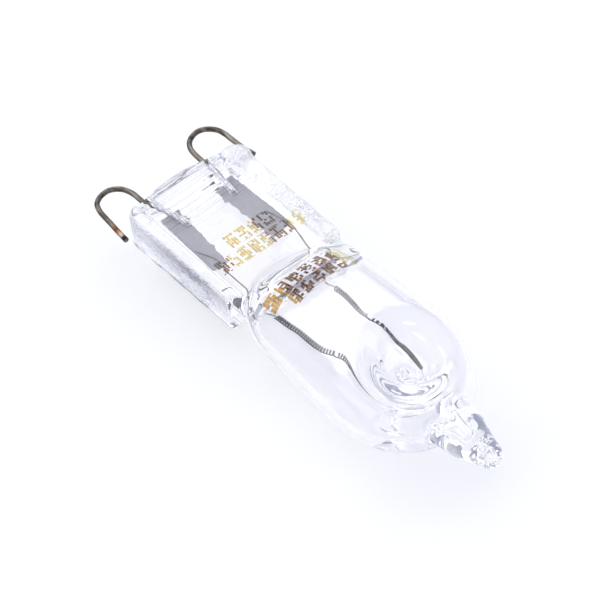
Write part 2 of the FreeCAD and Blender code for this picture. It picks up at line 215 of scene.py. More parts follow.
def roundCone(x, y, z, a, b, r1, r2):
    # two balls of different size and the cone between them
    ax, bx = np.array(a, float), np.array(b, float)
    axis = bx - ax
    l2 = float(axis @ axis)
    rr = r1 - r2
    a2 = l2 - rr * rr
    px, py, pz = x - ax[0], y - ax[1], z - ax[2]
    along = px * axis[0] + py * axis[1] + pz * axis[2]
    beyond = along - l2
    qx, qy, qz = px * l2 - axis[0] * along, py * l2 - axis[1] * along, pz * l2 - axis[2] * along
    x2 = qx * qx + qy * qy + qz * qz
    y2 = along * along * l2
    z2 = beyond * beyond * l2
    k = np.sign(rr) * rr * rr * x2
    atEnd = np.sign(beyond) * a2 * z2 > k
    atStart = np.sign(along) * a2 * y2 < k
    between = (np.sqrt(x2 * a2 / l2) + along * rr) / l2 - r1
    nearStart = np.sqrt(x2 + y2) / l2 - r1
    return np.where(atEnd, np.sqrt(x2 + z2) / l2 - r2, np.where(atStart, nearStart, between))


def alongAxis(x, y, z, start, end):
    # a round cone on the lamp's axis, each end given as its place and radius
    return roundCone(x, y, z, (start[0], 0, 0), (end[0], 0, 0), start[1], end[1])


def ripple(x, y, z, scale, seed):
    # a smooth uneven pattern between about -1 and 1
    total = 0.0
    for turn in range(5):
        a = 1.7 * turn + seed
        wave = (np.cos(a) * x + np.sin(a * 1.3) * y + np.sin(a * 0.7 + 1.0) * z) / scale
        total = total + np.sin(wave * (1.0 + 0.23 * turn) + 3.1 * a)
    return total / 5.0


pinch = {
    "halfWidth": 5.5,
    "length": 13.5,
    "endBow": (1.235, 0.55),  # the pin end's bow: how far the rails lie back, how far the middle stands out
    "web": 1.15,  # half the web's thickness
    "rail": (0.55, 4.22, 0.13),  # the rails' rise above the web, where they start across, how soft
    "ridge": (0.05, 0.72, 7.4, 4.5),  # ridges across the web: depth, pitch, end, length of their fading
    "lobe": (0.35, 1.2, 0.9),  # the swelling of the right rail's end: height, place, length
    "pebble": (0.05, 0.45, 4.6, 0.6),  # rough sides: height, size, where they start across, over what width
    "corners": (0.9, 0.25, 0.5),  # rounding of the pin end, the back end and the long edges
    "lug": (8.3, 10.5, 5.1, 0.85),  # side bumps: start, end, place across, radius
}


def pinchField(x, y, z):
    across = np.abs(y)
    rise, railAt, softness = pinch["rail"]
    rail = 1.0 / (1.0 + np.exp(-(across - railAt) / softness))
    depth, pitch, ridgeEnd, ridgeFade = pinch["ridge"]
    ridges = depth * np.sin(x * 2 * math.pi / pitch + 0.5 * np.sin(0.9 * y))
    ridges = ridges * np.clip((ridgeEnd - x) / ridgeFade, 0, 1) * (1 - rail)
    flat = np.abs(z) - (pinch["web"] + rise * rail + ridges)

    height, lobeAt, lobeLength = pinch["lobe"]
    lobe = np.exp(-((x - lobeAt) / lobeLength) ** 2) * height * (y > 0)
    rough, size, roughAt, roughFade = pinch["pebble"]
    pebbles = rough * ripple(x, z, z, size, 2.0) * np.clip((across - roughAt) / roughFade, 0, 1)
    side = across - pinch["halfWidth"] - lobe - pebbles

    back, out = pinch["endBow"]
    front = back * (y / pinch["halfWidth"]) ** 2 - out - x
    frontCorner, backCorner, longEdge = pinch["corners"]
    outline = common(common(side, front, frontCorner), x - pinch["length"], backCorner)
    return common(flat, outline, longEdge)


def lugField(x, y, z):
    start, end, across, radius = pinch["lug"]
    return roundCone(x, np.abs(y), z, (start, across, 0), (end, across, 0), radius, radius)


glass = {
    "cell": 0.16,  # size of the mesh's cells
    "low": (-0.9, -6.6, -6.4),  # corners of the box that the mesh is made in
    "high": (40.6, 6.6, 6.4),
    "wall": 0.8,
    "belly": (26.0, 5.92),  # the cone's wide end: place and radius
    "stretch": (0.92, 0.72),  # how far the shoulder and the dome are drawn out
    "slope": (12.7, 0.42, 0.5, 0.77),  # the jaws' slope from the web up: start, rise, softness, cosine
    "hollow": (14.0, 0.92, 0.735),  # the hollow between the slopes: start, its own slope, cosine
    "cup": (29.5, 3.45, 2.05),  # the dimples' bottoms: place, height, radius
    "cupMouth": (0.2, 4.5, 0.35),  # from there to the mouth: along, up, wider by
    "cupWall": 0.58,
    "waist": (28.7, 1.0, 0.8),  # the post's middle: place, half height, radius
    "flare": 2.0,  # rounding of the dimples' rims
    "collar": ((32.2, 2.3), (35.9, 1.85)),
    "nub": ((35.8, 1.75), (38.85, 1.03)),
    "bore": ((32.6, 0.9), (36.4, 0.4)),
    "bubble": ((38.0, 0.3), (38.8, 0.42)),
    "pinGaps": (((-1.0, -2.97, 0.2), (3.9, -2.1, 0.2)), ((-1.0, 2.97, 0.2), (3.9, 2.45, 0.2))),
    "pinGapRadius": (0.27, 0.3),
    # how softly the forms run into one another
    "soft": {"slope": 1.6, "pinch": 0.3, "nub": 0.2, "tip": 0.35, "hollow": 1.2, "waist": 0.5, "bore": 0.6},
    "waves": ((0.018, 1.9, 0.4), (0.008, 0.7, 5.0)),  # unevenness outside: height, size, seed
    "hollowWave": (0.03, 2.4, 1.1),
}


def bodyField(x, y, z):
    wideAt, wideRadius = glass["belly"]
    nearStretch, domeStretch = glass["stretch"]
    squeezed = np.where(x > wideAt, wideAt + (x - wideAt) * domeStretch, x)
    squeezed = np.where(x < shoulderAt, shoulderAt + (x - shoulderAt) * nearStretch, squeezed)
    return alongAxis(squeezed, y, z, (shoulderAt, shoulderRadius), (wideAt, wideRadius))


def slopeField(x, z):
    # where the jaws flattened the tube: the slope from the web up to full height
    start, rise, softness, cosine = glass["slope"]
    height = pinch["web"] + rise * np.logaddexp(0, (x - start) / softness)
    return (np.abs(z) - height) * cosine


def dimpleField(x, y, z):
    # both round-bottomed cups at once, by symmetry
    at, height, radius = glass["cup"]
    lean, rise, wider = glass["cupMouth"]
    mouth = (at + lean, 0, height + rise)
    return roundCone(x, y, np.abs(z), (at, 0, height), mouth, radius, radius + wider)


def outerField(x, y, z, shell, dimples):
    soft = glass["soft"]
    outer = carve(common(shell, slopeField(x, z), soft["slope"]), dimples, glass["flare"])
    outer = blend(outer, pinchField(x, y, z), soft["pinch"])
    outer = blend(outer, lugField(x, y, z), soft["pinch"])
    tip = blend(alongAxis(x, y, z, *glass["collar"]), alongAxis(x, y, z, *glass["nub"]), soft["nub"])
    outer = blend(outer, tip, soft["tip"])
    for height, size, seed in glass["waves"]:
        outer = outer + height * ripple(x, y, z, size, seed)
    return outer


def hollowField(x, y, z, shell, dimples):
    # the gas space round the post, with the end of the tip's bore
    soft = glass["soft"]
    start, slope, cosine = glass["hollow"]
    wedge = (np.abs(z) - slope * (x - start)) * cosine
    height, size, seed = glass["hollowWave"]
    space = common(shell + glass["wall"], wedge, soft["hollow"]) + height * ripple(x, y, z, size, seed)
    at, half, radius = glass["waist"]
    waist = roundCone(x, y, z, (at, 0, -half), (at, 0, half), radius, radius)
    space = carve(space, blend(dimples - glass["cupWall"], waist, soft["waist"]), glass["flare"])
    return blend(space, alongAxis(x, y, z, *glass["bore"]), soft["bore"])


def glassField(x, y, z):
    shell, dimples = bodyField(x, y, z), dimpleField(x, y, z)
    holes = np.minimum(hollowField(x, y, z, shell, dimples), alongAxis(x, y, z, *glass["bubble"]))
    for start, end in glass["pinGaps"]:
        holes = np.minimum(holes, roundCone(x, y, z, start, end, *glass["pinGapRadius"]))
    return np.maximum(outerField(x, y, z, shell, dimples), -holes)


# the field's surface as a mesh

def surfaceNet(field, low, high, step):
    axes = [np.arange(a, b + step, step) for a, b in zip(low, high)]
    x, y, z = np.meshgrid(*axes, indexing="ij", sparse=True)
    x, y, z = np.broadcast_arrays(x, y, z)
    values = np.empty(x.shape, np.float32)
    for row in range(x.shape[0]):
        values[row] = field(x[row], y[row], z[row])
    inside = values < 0
    shape = np.array(values.shape) - 1
    total = np.zeros(shape, np.int8)
    corners = [(i, j, k) for i in (0, 1) for j in (0, 1) for k in (0, 1)]
    for i, j, k in corners:
        total += inside[i:i + shape[0], j:j + shape[1], k:k + shape[2]]
    cells = np.argwhere((total > 0) & (total < 8))
    places = crossings(values, cells, corners) * step + np.array([axis[0] for axis in axes])
    index = np.full(shape, -1, np.int64)
    index[tuple(cells.T)] = np.arange(len(cells))
    return settle(field, places, step), netQuads(inside, index)


def crossings(values, cells, corners):
    # in each cell, the middle of the places where the surface crosses its edges
    places = np.zeros((len(cells), 3))
    counts = np.zeros(len(cells))
    for a in corners:
        for axis in range(3):
            if a[axis]:
                continue
            b = list(a)
            b[axis] = 1
            va = values[tuple((cells + a).T)]
            vb = values[tuple((cells + b).T)]
            crossed = (va < 0) != (vb < 0)
            t = np.where(crossed, va / np.where(crossed, va - vb, 1.0), 0.0)
            point = np.array(a, float) + np.outer(t, np.array(b, float) - np.array(a, float))
            places += point * crossed[:, None]
            counts += crossed
    return cells + places / counts[:, None]


def netQuads(inside, index):
    # one quad round each edge that the surface crosses
    quads = []
    for axis in range(3):
        u, v = (axis + 1) % 3, (axis + 2) % 3
        first = [slice(1, -1)] * 3
        first[axis] = slice(0, -1)
        second = list(first)
        second[axis] = slice(1, None)
        a, b = inside[tuple(first)], inside[tuple(second)]
        for flip in (False, True):
            base = np.argwhere((a & ~b) if not flip else (~a & b))
            base[:, u] += 1
            base[:, v] += 1
            ring = []
            for du, dv in ((-1, -1), (0, -1), (0, 0), (-1, 0)):
                cell = base.copy()
                cell[:, u] += du
                cell[:, v] += dv
                ring.append(index[tuple(cell.T)])
            quads.append(np.stack(ring if not flip else ring[::-1], axis=1))
    return np.concatenate(quads)


def settle(field, places, step):
    # moves each point onto the surface itself, by less than half a cell at a time
    near, longest, flattest, nothing = 0.01, 0.4 * step, 0.05, 1e-9
    for _ in range(3):
        x, y, z = places.T
        value = field(x, y, z)
        slope = np.stack([field(x + near, y, z) - value, field(x, y + near, z) - value,
                          field(x, y, z + near) - value], axis=1) / near
        length2 = np.maximum((slope ** 2).sum(1), flattest)
        move = -slope * (value / length2)[:, None]
        size = np.linalg.norm(move, axis=1)
        move *= np.minimum(1.0, longest / np.maximum(size, nothing))[:, None]
        places = places + move
    return places


# tubes

def smoothPath(points, perStep):
    points = np.array(points, float)
    ends = np.vstack([2 * points[0] - points[1], points, 2 * points[-1] - points[-2]])
    out = []
    for i in range(1, len(ends) - 2):
        p0, p1, p2, p3 = ends[i - 1:i + 3]
        for t in np.linspace(0, 1, perStep, endpoint=False):
            out.append(0.5 * (2 * p1 + (p2 - p0) * t + (2 * p0 - 5 * p1 + 4 * p2 - p3) * t ** 2
                              + (3 * p1 - p0 - 3 * p2 + p3) * t ** 3))
    out.append(ends[-2])
    return np.array(out)


def frames(path):
    tangents = np.gradient(path, axis=0)
    tangents /= np.linalg.norm(tangents, axis=1)[:, None]
    normal = np.cross(tangents[0], (0.1, 0.2, 1.0))
    normals = []
    for tangent in tangents:
        normal = normal - tangent * (normal @ tangent)
        normal = normal / np.linalg.norm(normal)
        normals.append(normal)
    normals = np.array(normals)
    return normals, np.cross(tangents, normals)


def tube(path, radius, sides):
    # rings along the path, with a flat face at each end
    radius = np.broadcast_to(radius, (len(path),)).astype(float)
    normals, others = frames(path)
    angles = np.arange(sides) * 2 * math.pi / sides
    ring = np.cos(angles)[:, None, None] * normals + np.sin(angles)[:, None, None] * others
    points = (path + ring * radius[:, None]).transpose(1, 0, 2).reshape(-1, 3)
    faces = []
    for i in range(len(path) - 1):
        for j in range(sides):
            k = (j + 1) % sides
            faces.append((i * sides + j, i * sides + k, (i + 1) * sides + k, (i + 1) * sides + j))
    faces.append(tuple(range(sides))[::-1])
    last = (len(path) - 1) * sides
    faces.append(tuple(range(last, last + sides)))
    return points, faces


def cutEnds(path, radius, bevel):
    # adds a narrower ring past each end, so that the cut ends get a small bevel
    first = path[0] + (path[0] - path[1]) / np.linalg.norm(path[0] - path[1]) * bevel
    last = path[-1] + (path[-1] - path[-2]) / np.linalg.norm(path[-1] - path[-2]) * bevel
    radii = np.full(len(path) + 2, float(radius))
    radii[0] = radii[-1] = radius - bevel
    return np.vstack([first, path, last]), radii


# glass

prints = {
    "web": [
        {"across": 10.0, "start": -3.65, "end": 4.35, "pitch": 1.07, "height": 1.5, "dot": 0.5},
        {"across": 8.2, "start": -1.45, "end": 2.9, "pitch": 1.1, "height": 1.5, "dot": 0.5},
    ],
    "body": [
        {"across": 17.6, "start": -4.4, "end": 2.65, "pitch": 1.15, "height": 1.7, "dot": 0.56},
        {"across": 19.3, "start": -3.2, "end": 2.65, "pitch": 1.1, "height": 1.4, "dot": 0.56},
    ],
    "columns": 5.0,  # columns of dots in a group, of which the last stays empty
    "off": 0.28,  # share of the dots that are left out
    "webFace": (0.9, 13.0),  # the web's upper face: above this height, before this place along
    "bodyFrom": 15.0,
    "outside": (0.42, -3.28, 0.095),  # the body's outer face lies above this: slope, level, crown across
    "wear": (3.0, 3.0),  # uneven ink: scale and detail
    "foilBands": ((-3.05, 0.62), (2.2, 1.0)),  # across, where print lies over a foil: middle, half width
    "orangeTo": -2.9,
    "yellowFrom": 1.9,
    "dash": (12.36, 0.07, -4.6, 0.5),  # the plain dash: place along, half width, place across, half length
    "gold": [(0.38, (0.42, 0.19, 0.01)), (0.6, (0.72, 0.50, 0.05))],
    "overFoil": (0.07, 0.014, 0.002),
    "brown": [(0.44, (0.006, 0.0006, 0.0002)), (0.64, (0.20, 0.05, 0.004))],
    "orange": (0.42, 0.14, 0.008),
    "yellow": (0.62, 0.50, 0.05),
    "dark": (0.04, 0.04, 0.05),
}
quartz = {
    "clear": (0.957, 0.958, 0.979),
    "paintedShade": (0.56, 0.55, 0.72),  # painted shade: a lavender shading painted into the clear glass between the body's two rows of print
    "paintedShadeAlong": (18.5, 1.0, 0.5),  # its middle, then the distances where it ends and where it is full
    "paintedShadeAcross": (-0.8, 2.2, 1.6),
    "paintedShadeShare": 0.6,
    "frost": (0.60, 0.63, 0.80),  # on the pebbled sides
    "frostShare": 0.85,
    "pebble": {"across": 5.25, "before": 13.4, "scale": 5.0, "detail": 3.0, "edges": (0.40, 0.56),
               "depth": 0.00015, "strength": 0.9},
    "inkRoughness": 0.25,
    "straight": (0.985, 0.985, 0.99),  # what shadows and deep rays pass through
    "ior": 1.458,
    "deepGlossy": 2.5,  # past so many bounces the light goes straight through
    "deepRay": 9.0,
}


def printRow():
    # one row of plain specks: small dots switched on and off at random, in groups with gaps
    names = ("Along", "Across", "Start", "End", "Pitch", "Height", "Dot")
    group, source = newGroup("PrintRow", [(name, "Float") for name in names], [("Mask", "Float")])
    run = maths(group, "SUBTRACT", source["Along"], source["Start"])
    groupAt = maths(group, "DIVIDE", run, source["Pitch"])
    inGroup = below(group, maths(group, "FRACT", groupAt), 1.0 - 1.0 / prints["columns"])
    dotPitch = maths(group, "DIVIDE", source["Pitch"], prints["columns"])
    columnAt = maths(group, "DIVIDE", run, dotPitch)
    lineAt = maths(group, "DIVIDE", source["Across"], dotPitch)
    offColumn = maths(group, "SUBTRACT", maths(group, "FRACT", columnAt), 0.5)
    offLine = maths(group, "SUBTRACT", maths(group, "FRACT", lineAt), 0.5)
    squares = maths(group, "ADD", times(group, offColumn, offColumn), times(group, offLine, offLine))
    inDot = below(group, maths(group, "SQRT", squares), source["Dot"])
    cell = {0: maths(group, "FLOOR", columnAt), 1: maths(group, "FLOOR", lineAt), 2: source["Start"]}
    spot = addNode(group, "ShaderNodeCombineXYZ", cell).outputs[0]
    chance = addNode(group, "ShaderNodeTexWhiteNoise", {"Vector": spot}, noise_dimensions="3D").outputs
    lit = above(group, chance["Value"], prints["off"])
    inRow = below(group, distance(group, source["Across"], 0.0), times(group, source["Height"], 0.5))
    inLength = times(group, above(group, run, 0.0), below(group, source["Along"], source["End"]))
    addNode(group, "NodeGroupOutput", {"Mask": times(group, lit, inDot, inGroup, inRow, inLength)})
    return group


def printMask(tree, group, rows, x, y):
    masks = []
    for row in rows:
        inputs = {key.capitalize(): row[key] for key in ("start", "end", "pitch", "height", "dot")}
        inputs.update({"Along": y, "Across": maths(tree, "SUBTRACT", x, row["across"])})
        masks.append(addNode(tree, "ShaderNodeGroup", inputs, node_tree=group).outputs["Mask"])
    return maths(tree, "MAXIMUM", *masks)


def inkColour(tree, x, y, place):
    worn = noise(tree, place, *prints["wear"])
    bands = [below(tree, distance(tree, y, at), half) for at, half in prints["foilBands"]]
    overFoil = maths(tree, "MAXIMUM", *bands)
    webInk = mixColour(tree, overFoil, ramp(tree, worn, prints["gold"]), prints["overFoil"])
    atLeft, atRight = below(tree, y, prints["orangeTo"]), above(tree, y, prints["yellowFrom"])
    bodyInk = mixColour(tree, atLeft, ramp(tree, worn, prints["brown"]), prints["orange"])
    bodyInk = mixColour(tree, atRight, bodyInk, prints["yellow"])
    return mixColour(tree, above(tree, x, pinch["length"]), webInk, bodyInk)


def glassMaterial():
    material, tree = newMaterial("QuartzGlass")
    place = millimetres(tree)
    x, y, z = separate(tree, place)

    # the print lies on the upper outer face only
    group = printRow()
    webHeight, webEnd = prints["webFace"]
    onWeb = times(tree, above(tree, z, webHeight), below(tree, x, webEnd))
    slope, level, crown = prints["outside"]
    rise = maths(tree, "ADD", z, times(tree, y, y, crown))
    outside = above(tree, rise, maths(tree, "ADD", times(tree, x, slope), level))
    onBody = times(tree, outside, above(tree, x, prints["bodyFrom"]))
    paint = maths(tree, "ADD", times(tree, printMask(tree, group, prints["web"], x, y), onWeb),
                  times(tree, printMask(tree, group, prints["body"], x, y), onBody), clamp=True)
    tone = mixColour(tree, paint, quartz["clear"], inkColour(tree, x, y, place))
    # painted shade: the clear glass is tinted lavender between the body's rows of print, less where there
    # is ink, to stand in for the shading on the body
    alongAt, *alongEdge = quartz["paintedShadeAlong"]
    acrossAt, *acrossEdge = quartz["paintedShadeAcross"]
    between = times(tree, fade(tree, distance(tree, x, alongAt), *alongEdge),
                    fade(tree, distance(tree, y, acrossAt), *acrossEdge))
    unprinted = maths(tree, "SUBTRACT", quartz["paintedShadeShare"], paint, clamp=True)
    tone = mixColour(tree, times(tree, between, onBody, unprinted), tone, quartz["paintedShade"])
    dashAlong, dashWidth, dashAcross, dashLength = prints["dash"]
    dash = times(tree, below(tree, distance(tree, x, dashAlong), dashWidth),
                 below(tree, distance(tree, y, dashAcross), dashLength), onWeb)
    tone = mixColour(tree, dash, tone, prints["dark"])

    # pebbled sides of the pinch
    pebble = quartz["pebble"]
    sides = times(tree, above(tree, distance(tree, y, 0.0), pebble["across"]),
                  below(tree, x, pebble["before"]))
    bumps = noise(tree, place, pebble["scale"], pebble["detail"])
    frosted = times(tree, sides, fade(tree, bumps, *pebble["edges"]), quartz["frostShare"])
    tone = mixColour(tree, frosted, tone, quartz["frost"])
    rough = times(tree, paint, quartz["inkRoughness"])
    normal = bumped(tree, bumps, pebble["depth"], times(tree, sides, pebble["strength"]))
    clear = principled(tree, {"Base Color": tone, "Roughness": rough, "IOR": quartz["ior"],
                              "Transmission Weight": 1.0, "Normal": normal})

    # shadows, and light that has already bounced many times, go straight through
    through = addNode(tree, "ShaderNodeBsdfTransparent", {"Color": (*quartz["straight"], 1.0)}).outputs[0]
    rays = addNode(tree, "ShaderNodeLightPath").outputs
    deep = maths(tree, "MAXIMUM", above(tree, rays["Glossy Depth"], quartz["deepGlossy"]),
                 above(tree, rays["Ray Depth"], quartz["deepRay"]))
    straight = maths(tree, "MAXIMUM", rays["Is Shadow Ray"], deep)
    surface(tree, addNode(tree, "ShaderNodeMixShader", {0: straight, 1: clear, 2: through}).outputs[0])
    return material


points, quads = surfaceNet(glassField, glass["low"], glass["high"], glass["cell"])
addMesh("Envelope", points, quads, glassMaterial(), "glass_envelope")
print("glass", len(points), "points", len(quads), "faces")


# pins

pins = {
    "wire": 0.43,
    "height": 0.235,
    "bevel": 0.04,
    "steps": 8,  # steps between two points of the path
    "sides": 28,
    "left": [(4.0, -2.12), (2.2, -2.5), (0.3, -2.95), (-0.76, -3.03), (-1.94, -3.08), (-2.85, -3.46),
             (-3.36, -4.2), (-3.3, -5.05), (-2.86, -5.72), (-2.1, -6.03), (-1.35, -6.13), (-0.3, -6.23),
             (0.68, -6.33), (1.75, -6.41)],
    "right": [(3.8, 2.47), (2.0, 2.72), (0.14, 2.88), (-0.76, 2.9), (-2.09, 2.97), (-2.85, 3.27),
              (-3.3, 3.8), (-3.48, 4.5), (-3.25, 5.15), (-2.6, 5.72), (-1.8, 5.93), (-1.1, 5.96),
              (0.09, 6.03), (1.47, 6.22)],
    "finish": {"scale": 1.6, "detail": 5.0,
               "tones": [(0.36, (0.06, 0.052, 0.045)), (0.64, (0.21, 0.19, 0.165))]},
    "stretch": (0.6, 2.2, 2.2),  # the drawn wire's marks run along it
    # the left pin's free end, from the plain wire to the cut: brown heat tint, pale band, dark cut
    "freeEnd": (-5.7, -0.6, 0.1),  # beyond this across, and where it fades in along
    "burntFrom": -0.3,
    "burntTo": 1.8,
    "burnt": [(0.12, (0.15, 0.11, 0.08)), (0.36, (0.10, 0.028, 0.008)), (0.52, (0.24, 0.14, 0.07)),
              (0.64, (0.32, 0.28, 0.21)), (0.76, (0.26, 0.23, 0.18)), (0.82, (0.02, 0.015, 0.015)),
              (0.97, (0.025, 0.02, 0.02)), (1.0, (0.22, 0.20, 0.19))],
    "sealed": (0.46, 0.46, 0.50),  # brighter where the wire is sealed in the glass
    "sealedAt": (3.0, 0.1, 0.5),  # nearer the middle than this, and where it fades in along
    "rough": (0.26, 0.45),
    "scratches": {"scale": 9.0, "detail": 2.0, "depth": 0.00002, "strength": 0.6},
}


def pinMaterial():
    material, tree = newMaterial("PinWire")
    place = millimetres(tree)
    x, y, _ = separate(tree, place)
    stretched = addNode(tree, "ShaderNodeMapping", {"Vector": place, "Scale": pins["stretch"]}).outputs[0]
    tone, value = mottled(tree, stretched, pins["finish"])
    along = addNode(tree, "ShaderNodeMapRange", {"Value": x, "From Min": pins["burntFrom"],
                                                 "From Max": pins["burntTo"]}).outputs[0]
    beyond, *freeEdge = pins["freeEnd"]
    freeEnd = times(tree, below(tree, y, beyond), fade(tree, x, *freeEdge))
    tone = mixColour(tree, freeEnd, tone, ramp(tree, along, pins["burnt"]))
    within, *sealedEdge = pins["sealedAt"]
    sealed = times(tree, below(tree, distance(tree, y, 0.0), within), fade(tree, x, *sealedEdge))
    tone = mixColour(tree, sealed, tone, pins["sealed"])
    smoothest, roughest = pins["rough"]
    rough = addNode(tree, "ShaderNodeMapRange",
                    {"Value": value, "To Min": smoothest, "To Max": roughest}).outputs[0]
    scratches = pins["scratches"]
    marks = noise(tree, stretched, scratches["scale"], scratches["detail"])
    normal = bumped(tree, marks, scratches["depth"], scratches["strength"])
    surface(tree, principled(tree, {"Base Color": tone, "Metallic": 1.0, "Roughness": rough,
                                    "Normal": normal}))
    return material


pinMetal = pinMaterial()
for side in ("left", "right"):
    path = smoothPath([(x, y, pins["height"]) for x, y in pins[side]], pins["steps"])
    path, radii = cutEnds(path, pins["wire"] / 2, pins["bevel"])
    points, faces = tube(path, radii, pins["sides"])
    addMesh(f"Pin.{side}", points, faces, pinMetal, f"pin_{side}")
print("pins")


# foils

foils = {
    "thickness": 0.04,
    "steps": (72, 8),  # steps along and across
    "left": [(2.28, -3.5), (9.32, -4.28), (9.28, -2.31), (2.06, -1.73)],
    "right": [(2.28, 3.48), (9.42, 3.79), (9.72, 1.81), (2.61, 1.54)],
    "seeds": {"left": 0.7, "right": 2.9},
    # small tabs on the inner edge: share of the length, height, share of the length that they take
    "tabs": [(0.03, 0.1, 0.04), (0.2, 0.3, 0.03), (0.47, 0.1, 0.02), (0.71, 0.14, 0.03)],
    "innerEdge": ((0.025, 37, 1), (0.02, 91, 2)),  # ragged edge: size, turns, share of the seed
    "outerEdge": (0.015, 53),
    "wave": (0.012, 2.1, 3.3),  # height, turns along and across
    "metallic": 0.4,
    "rough": 0.55,
    "bump": (0.00005, 0.5),
    "finish": {"scale": 2.4, "detail": 6.0, "grain": 0.65,
               "tones": [(0.33, (0.30, 0.30, 0.345)), (0.68, (0.38, 0.38, 0.425))]},
}


def foilMaterial():
    material, tree = newMaterial("SealFoil")
    tone, value = mottled(tree, millimetres(tree), foils["finish"])
    surface(tree, principled(tree, {"Base Color": tone, "Metallic": foils["metallic"],
                                    "Roughness": foils["rough"],
                                    "Normal": bumped(tree, value, *foils["bump"])}))
    return material


def foilMesh(corners, seed):
    # a slightly wavy strip between four corners, with an uneven inner edge
    a, b, c, d = [np.array(corner) for corner in corners]
    longWay, shortWay = foils["steps"]
    outerSize, outerTurns = foils["outerEdge"]
    waveHeight, waveAlong, waveAcross = foils["wave"]
    grid = []
    for i in range(longWay + 1):
        u = i / longWay
        outer, inner = a + (b - a) * u, d + (c - d) * u
        across = (inner - outer) / np.linalg.norm(inner - outer)
        reach = sum(size * math.exp(-((u - at) / width) ** 2) for at, size, width in foils["tabs"])
        ragged = sum(size * math.sin(turns * u + share * seed) for size, turns, share in foils["innerEdge"])
        inner = inner + across * (reach + ragged)
        outer = outer - across * outerSize * math.sin(outerTurns * u + seed)
        for j in range(shortWay + 1):
            point = outer + (inner - outer) * j / shortWay
            wave = waveHeight * math.sin(waveAlong * point[0] + seed) * math.sin(waveAcross * point[1])
            grid.append((*point, wave))
    grid = np.array(grid)
    half = np.array([0, 0, foils["thickness"] / 2])
    points = np.vstack([grid + half, grid - half])
    count, width = len(grid), shortWay + 1
    faces = []
    for i in range(longWay):
        for j in range(shortWay):
            quad = (i * width + j, (i + 1) * width + j, (i + 1) * width + j + 1, i * width + j + 1)
            faces += [quad, tuple(count + k for k in quad[::-1])]
    rim = ([i * width for i in range(longWay + 1)] + [longWay * width + j for j in range(1, width)]
           + [i * width + shortWay for i in range(longWay - 1, -1, -1)] + list(range(shortWay - 1, 0, -1)))
    for p, q in zip(rim, rim[1:] + rim[:1]):
        faces.append((q, p, count + p, count + q))
    return points, faces


foilMetal = foilMaterial()
for side in ("left", "right"):
    points, faces = foilMesh(foils[side], foils["seeds"][side])
    addMesh(f"Foil.{side}", points, faces, foilMetal, f"foil_{side}", smooth=False)
print("foils")


# inner leads and filament

leads = {
    "wire": 0.13,
    "height": 0.085,
    "steps": 8,
    "sides": 12,
    "left": [(6.55, -3.54), (8.39, -2.84), (9.84, -2.99), (12.0, -3.02), (14.2, -2.9), (16.35, -2.8)],
    "right": [(7.2, 3.1), (9.39, 3.57), (11.3, 3.32), (13.4, 2.8), (15.3, 2.35), (17.1, 2.23)],
    "finish": {"scale": 2.0, "detail": 3.0,
               "tones": [(0.35, (0.12, 0.115, 0.115)), (0.65, (0.26, 0.25, 0.25))]},
    "rough": 0.38,
}
coil = {
    "wire": 0.108,
    "pitch": 0.27,
    "steps": 12,
    "perTurn": 12,  # points in one turn
    "sides": 6,
    "fullRadius": 0.12,  # below this coil radius the wire is drawn thinner, down to the thinnest share
    "thinnest": 0.3,
    # each point: x, y and the coil's radius there, which is pulled out nearly straight round the post
    "path": [(16.15, -2.82, 0.185), (17.6, -2.75, 0.185), (18.98, -2.6, 0.185), (20.4, -2.55, 0.185),
             (21.55, -2.46, 0.19), (22.4, -2.12, 0.19), (23.19, -1.84, 0.17), (24.56, -1.89, 0.13),
             (25.97, -2.08, 0.10), (27.28, -2.18, 0.07), (28.62, -2.2, 0.02), (29.4, -1.75, 0.012),
             (29.85, -0.95, 0.012), (29.95, 0.0, 0.012), (29.75, 0.85, 0.012), (29.2, 1.4, 0.012),
             (28.45, 1.72, 0.02), (28.28, 1.78, 0.185), (26.4, 2.15, 0.19), (24.47, 2.31, 0.19),
             (22.67, 2.25, 0.17), (21.84, 2.17, 0.14), (21.07, 2.09, 0.12), (20.38, 2.09, 0.14),
             (19.51, 2.16, 0.17), (18.3, 2.24, 0.185), (17.02, 2.21, 0.185)],
    "finish": {"scale": 2.0, "detail": 3.0,
               "tones": [(0.35, (0.04, 0.038, 0.038)), (0.65, (0.12, 0.115, 0.112))]},
    "rough": 0.35,
}


def wireMaterial(name, wire):
    material, tree = newMaterial(name)
    tone, _ = mottled(tree, millimetres(tree), wire["finish"])
    surface(tree, principled(tree, {"Base Color": tone, "Metallic": 1.0, "Roughness": wire["rough"]}))
    return material


def coiled(middle, radii):
    # a helix round the middle line, and its radius at each point
    lengths = np.concatenate([[0], np.cumsum(np.linalg.norm(np.diff(middle, axis=0), axis=1))])
    at = np.linspace(0, lengths[-1], int(lengths[-1] / coil["pitch"] * coil["perTurn"]))
    line = np.stack([np.interp(at, lengths, middle[:, k]) for k in range(3)], axis=1)
    radius = np.interp(at, lengths, radii)
    normals, others = frames(line)
    turns = (at / coil["pitch"] * 2 * math.pi)[:, None]
    return line + (normals * np.cos(turns) + others * np.sin(turns)) * radius[:, None], radius


leadMetal = wireMaterial("InnerWire", leads)
for side in ("left", "right"):
    path = smoothPath([(x, y, leads["height"]) for x, y in leads[side]], leads["steps"])
    points, faces = tube(path, leads["wire"] / 2, leads["sides"])
    addMesh(f"InnerLead.{side}", points, faces, leadMetal, f"inner_lead_{side}")

middle = smoothPath([(x, y, leads["height"], radius) for x, y, radius in coil["path"]], coil["steps"])
helix, helixRadius = coiled(middle[:, :3], middle[:, 3])
thickness = coil["wire"] / 2 * np.clip(helixRadius / coil["fullRadius"], coil["thinnest"], 1.0)
points, faces = tube(helix, thickness, coil["sides"])
addMesh("Filament", points, faces, wireMaterial("FilamentWire", coil), "filament")
print("leads and filament", len(faces), "faces")


# floor, light and camera

